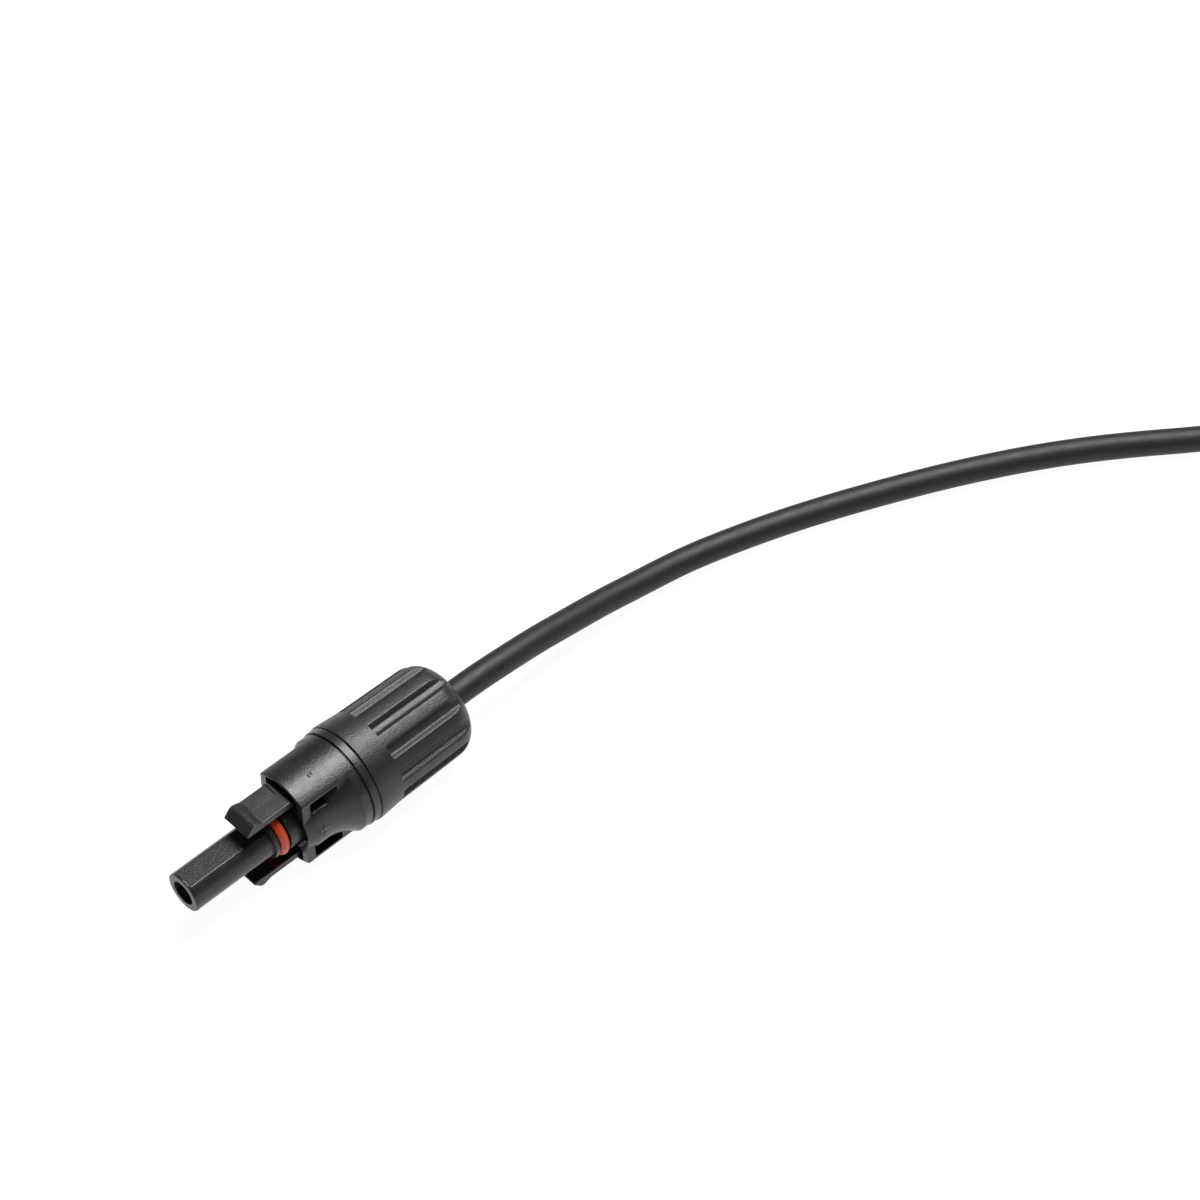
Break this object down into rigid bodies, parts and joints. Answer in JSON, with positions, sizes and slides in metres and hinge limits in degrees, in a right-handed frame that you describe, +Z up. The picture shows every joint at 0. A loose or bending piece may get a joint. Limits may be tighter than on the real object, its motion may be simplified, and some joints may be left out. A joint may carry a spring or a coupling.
{
  "type": "solar cable connector",
  "caption": "Single-pole locking connector for solar cable, socket half: round nose with seal ring, latch arms, fluted cap nut, and its own coiled cable lead.",
  "frame": {"origin": "on the connector's axis, at the shoulder where the nose ends and the seal ring's seat begins", "axes": "-X points out of the nose towards the mating connector, +X runs to the cable, +Z is up through the upper latch arm; the part lies on a surface at z = -10.4 mm"},
  "size_m": [0.3309, 0.0951, 0.0208],
  "materials": {
    "housing_plastic": "satin moulded black",
    "o_ring_rubber": "slightly glossy orange-red silicone",
    "contact_metal": "tin-plated copper, bright",
    "spring_metal": "bright copper alloy",
    "clip_steel": "bright stainless steel",
    "conductor_metal": "tinned copper strands",
    "core_plastic": "matt natural insulation",
    "sheath_rubber": "satin black sheath",
    "seal_rubber": "matt grey silicone",
    "cage_plastic": "satin grey",
    "nut_plastic": "fine matt texture",
    "tie_plastic": "satin black nylon"
  },
  "bodies": {
    "connector": {"housing": "housing_plastic", "nose_o_ring": "o_ring_rubber", "contact_socket": "contact_metal", "contact_spring_insert": "spring_metal", "contact_retainer_clip": "clip_steel", "crimped_conductor": "conductor_metal", "core_insulation": "core_plastic", "sheath_in_gland": "sheath_rubber", "cable_seal": "seal_rubber", "cable_run": "sheath_rubber", "cable_coil": "sheath_rubber", "coil_tie_near": "tie_plastic", "coil_tie_far": "tie_plastic", "tail_insulation": "core_plastic", "tail_strands": "conductor_metal"},
    "upper_latch": {"latch_arm_upper": "housing_plastic"},
    "lower_latch": {"latch_arm_lower": "housing_plastic"},
    "gland": {"clamp_cage": "cage_plastic"},
    "nut": {"cap_nut": "nut_plastic"}
  },
  "joints": [
    {"name": "upper_latch_flex", "type": "hinge", "parent": "connector", "child": "upper_latch", "pos_m": [0.0156, 0, 0.00745], "axis": [0, -1, 0], "range_deg": [0, 5], "stiffness_Nm_per_rad": 1},
    {"name": "lower_latch_flex", "type": "hinge", "parent": "connector", "child": "lower_latch", "pos_m": [0.0156, 0, -0.00745], "axis": [0, 1, 0], "range_deg": [0, 5], "stiffness_Nm_per_rad": 1},
    {"name": "gland_slide", "type": "slide", "parent": "connector", "child": "gland", "axis": [1, 0, 0], "range_m": [0, 0.006]},
    {"name": "nut_turn", "type": "hinge", "parent": "gland", "child": "nut", "pos_m": [0.0205, 0, 0], "axis": [1, 0, 0], "range_deg": [0, 1440]}
  ],
  "couplings": [
    {"joint": "gland_slide", "follows": "nut_turn", "m_per_rad": 0.0002387}
  ]
}
